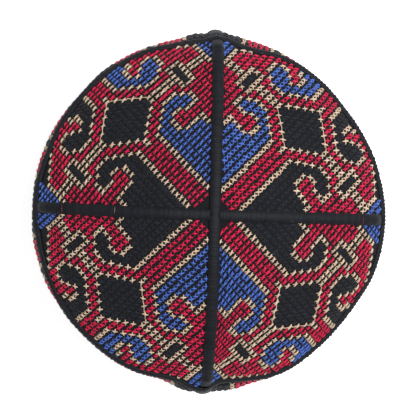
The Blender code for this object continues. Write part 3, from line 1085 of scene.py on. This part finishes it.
# %% Band stitches
BAND_PLAIN = 14.5 * MM            # width worked in black on each side of the front and back seams
BLACK_COLUMNS = 3                 # columns of black crosses there
FIRST_BAND_ROW = 1.6              # rows below the band's top edge where the pattern starts
LAST_BAND_ROW = 13
STEMS = "BRRRRBKBRRRRR"           # floss of the columns from a seam to the first panel
WIDE_PANEL = "." * 11
NARROW_PANEL = "." * 9
BAND_QUARTER = STEMS + WIDE_PANEL + STEMS[::-1]
BAND_COLUMNS = BAND_QUARTER + NARROW_PANEL + BAND_QUARTER
FIRST_PANEL = BAND_COLUMNS.index(WIDE_PANEL) + len(WIDE_PANEL) // 2
PANEL_SPACING = len(BAND_COLUMNS) // 2 - FIRST_PANEL
DIAMOND_RINGS = "KRRGB"           # from the diamond's middle outwards

half_angle = math.pi / 2 - BAND_PLAIN / RIM_OUTER_RADIUS
angle_step = 2 * half_angle / len(BAND_COLUMNS)
row_share = ROW / BAND_DEPTH


def band_letter(index, row):
    """The floss at a column and row of one half of the band."""
    if not 0 <= index < len(BAND_COLUMNS):
        return "K"
    if BAND_COLUMNS[index] != ".":
        return BAND_COLUMNS[index]
    if row == LAST_BAND_ROW:
        return "B"
    side = abs((index - FIRST_PANEL + PANEL_SPACING // 2) % PANEL_SPACING - PANEL_SPACING // 2)
    ring = round(side + abs(row - LAST_BAND_ROW / 2) - 0.5)
    return DIAMOND_RINGS[ring] if ring < len(DIAMOND_RINGS) else "K"


band_chart = [(index, row, band_letter(index, row))
              for index in range(-BLACK_COLUMNS, len(BAND_COLUMNS) + BLACK_COLUMNS)
              for row in range(LAST_BAND_ROW + 1)]
print("columns in half the band:", len(BAND_COLUMNS), "stitches:", len(band_chart))


def band_frames(middle, index, row):
    """Place, row step, column step and up direction for spots on the band."""
    angle = middle - half_angle + (index + 0.5) * angle_step
    depth = (row + FIRST_BAND_ROW) * row_share
    down = step_over(band_surface, angle, depth, 0, row_share)
    across = step_over(band_surface, angle, depth, angle_step, 0)
    return band_surface(angle, depth), down, across, unit(np.cross(down, across))


band_flosses = sorted({letter for _, _, letter in band_chart})
band_stitches = {
    name: work_chart(f"band_{name}", band_chart, band_flosses, partial(band_frames, middle), "band")
    for name, middle in BAND_MIDDLES.items()}

# %% Ribs down the band
BAND_RIB_SPREAD = 7.2 * MM        # wider and flatter than the crown's ribs
BAND_RIB_HEIGHT = 0.5 * MM
BAND_RIB_CREST = 0.12 * MM


def band_rib(node, angle):
    top = (BAND_TOP - BAND_HEIGHT + RIM_RIB_WIDTH / 2) / BAND_DEPTH
    bottom = (BAND_TOP - TAPE_HEIGHT) / BAND_DEPTH

    def place(along, offset, lift):
        turned = angle + offset * BAND_RIB_SPREAD / 2 / RIM_OUTER_RADIUS
        return (band_surface(turned, top + along * (bottom - top))
                + outward(np.full_like(along, angle)) * (lift + RIB_SEAT)[..., None])

    wrapped_rib(f"{node}_wrapping", (bottom - top) * BAND_DEPTH, BAND_RIB_HEIGHT, RIB_WRAP, BAND_RIB_CREST,
                place, [node])


for node, side in (("band_rib_front", -1), ("band_rib_back", 1)):
    shift = wander(LENGTHWISE_WANDER, side * RIM_OUTER_RADIUS)
    band_rib(node, side * (math.pi / 2 - shift / RIM_OUTER_RADIUS))

# %% [markdown]
# ## The hem binding
# A strip of cotton tape is folded over the band's bottom edge and sewn through. The CAD ring has square
# corners. The tape here has the same outline with a rounded fold, a soft swell between stitches, and a line
# of short black machine stitches near its upper edge.

# %% Folded tape
TAPE_STEPS = 420
TAPE_FOLD = 1.6 * MM              # height of the rounded fold's middle
TAPE_SWELL = 0.12 * MM
TAPE_BEVEL = 0.25 * MM            # at its upper edges
SEWING_STEP = 3.4 * MM
SEWING_HEIGHT = 7.2 * MM
HEIGHTS_OUTSIDE = [4.0 * MM, 6.4 * MM, SEWING_HEIGHT, 8.2 * MM]
HEIGHTS_INSIDE = [8.2 * MM, 4.0 * MM]


def tape_section():
    """Points round the folded tape: how far out from the band's face, and how high."""
    outer, inner = GAP + TAPE, -CLOTH - GAP - TAPE
    near, far = 0.2 * GAP, -CLOTH - 0.2 * GAP
    middle, width = (outer + inner) / 2, (outer - inner) / 2
    fold = [(middle + width * math.cos(turn), TAPE_FOLD * (1 + math.sin(turn)))
            for turn in np.linspace(-math.pi, 0.0, 9)]
    outside = [(outer, height) for height in HEIGHTS_OUTSIDE]
    edge = TAPE_HEIGHT - 0.05 * MM
    top = [(outer - TAPE_BEVEL, TAPE_HEIGHT), (near, edge), (near, TAPE), (far, TAPE), (far, edge),
           (inner + TAPE_BEVEL, TAPE_HEIGHT)]
    inside = [(inner, height) for height in HEIGHTS_INSIDE]
    return np.array(fold + outside + top + inside)


section = tape_section()
angles = np.linspace(0.0, 2 * math.pi, TAPE_STEPS, endpoint=False)[:, None] * np.ones(len(section))
out, height = section.T[:, None] * np.ones((2, TAPE_STEPS, 1))
depth = np.minimum((BAND_TOP - height) / BAND_DEPTH, 1.0)
ripple = TAPE_SWELL * (np.sin(angles * rim_length / SEWING_STEP) + 1.0)
swell = ripple * (out > 0) * (np.abs(height - SEWING_HEIGHT) > 1e-4)
tape_points = band_surface(angles, depth) + outward(angles) * (out + swell)[..., None]
tape_points[..., 2] = height
steps_round = np.linalg.norm(np.diff(section, axis=0), axis=1) / MM
around_tape = np.concatenate([[0.0], np.cumsum(steps_round)])
tape_uv = np.stack([angles * RIM_OUTER_RADIUS / MM, np.broadcast_to(around_tape, angles.shape)], axis=-1)
tape_faces = grid_faces(TAPE_STEPS, len(section), True, True)[:, ::-1]
tape = add_piece("hem_tape", tape_points, tape_faces, tape_uv, black_tape)
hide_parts("hem_binding")
print("hem tape:", count(tape), "triangles")

# %% Sewing along the tape
SEWING_SEAT = GAP + TAPE - 0.05 * MM
SEWN_SHAPE = [((-0.42, 0.0), (0.42, 0.0), 0.22, 0.20, 0.16)]
sewing_step = SEWING_STEP / RIM_OUTER_RADIUS
sewn = np.arange(0.0, 2 * math.pi, sewing_step)
sewing_depth = np.full_like(sewn, (BAND_TOP - SEWING_HEIGHT) / BAND_DEPTH)
places = band_surface(sewn, sewing_depth) + outward(sewn) * SEWING_SEAT
along = step_over(band_surface, sewn, sewing_depth, sewing_step, 0)
sewing = lay_threads("hem_sewing", places, along, np.zeros_like(along) + (0, 0, COLUMN), outward(sewn),
                     SEWN_SHAPE, black_satin, LONE_THREAD)
print("sewing stitches:", len(sewn))

# %% [markdown]
# ## Stage and light
# The picture has a white background and hardly any shadow. A dark room with strong lamps would leave hard
# edges, so the surround is an even white, and the white floor glows a little to stay white right up to the
# cap. One big soft lamp from the right gives the threads a brighter side and leaves a faint shadow on the
# left.

# %% Floor and lamp
WHITE = (1.0, 1.0, 1.0, 1.0)
FLOOR_REACH = 3.0                 # metres each way from the middle
FLOOR_LOOK = {"Base Color": (0.90, 0.90, 0.90, 1.0), "Roughness": 0.9,
              "Emission Color": WHITE, "Emission Strength": 0.75}
SURROUND_STRENGTH = 0.40
LAMP_PLACE = Vector((0.60, 0.25, 1.8))
LAMP_AIM = Vector((0, 0, 0.06))
LAMP_SIZE = 0.8
LAMP_WATTS = 40.0

floor_mesh = bpy.data.meshes.new("floor")
corners = [(x * FLOOR_REACH, y * FLOOR_REACH, 0) for x, y in ((-1, -1), (1, -1), (1, 1), (-1, 1))]
floor_mesh.from_pydata(corners, [], [(0, 1, 2, 3)])
floor = add_object("floor", floor_mesh)
floor_material = bpy.data.materials.new("white_floor")
floor_material.use_nodes = True
feed_all(floor_material.node_tree, floor_material.node_tree.nodes["Principled BSDF"], FLOOR_LOOK)
floor_mesh.materials.append(floor_material)
floor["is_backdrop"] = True

lamp = add_object("overhead", bpy.data.lights.new("overhead", "AREA"))
lamp.data.size = LAMP_SIZE
lamp.data.energy = LAMP_WATTS
lamp.location = LAMP_PLACE
lamp.rotation_mode = "QUATERNION"
lamp.rotation_quaternion = (LAMP_AIM - LAMP_PLACE).to_track_quat("-Z", "Y")

world = bpy.data.worlds.new("white_surround")
world.use_nodes = True
background = world.node_tree.nodes["Background"]
feed_all(world.node_tree, background, {"Color": WHITE, "Strength": SURROUND_STRENGTH})
bpy.context.scene.world = world
bpy.context.scene.view_settings.view_transform = "Standard"
print("lamp:", LAMP_WATTS, "watts")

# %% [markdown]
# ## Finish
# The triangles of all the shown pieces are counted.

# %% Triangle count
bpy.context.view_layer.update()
all_triangles = sum(count(piece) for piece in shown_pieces() if piece.type == "MESH")
print("all pieces:", all_triangles, "triangles before modifiers")
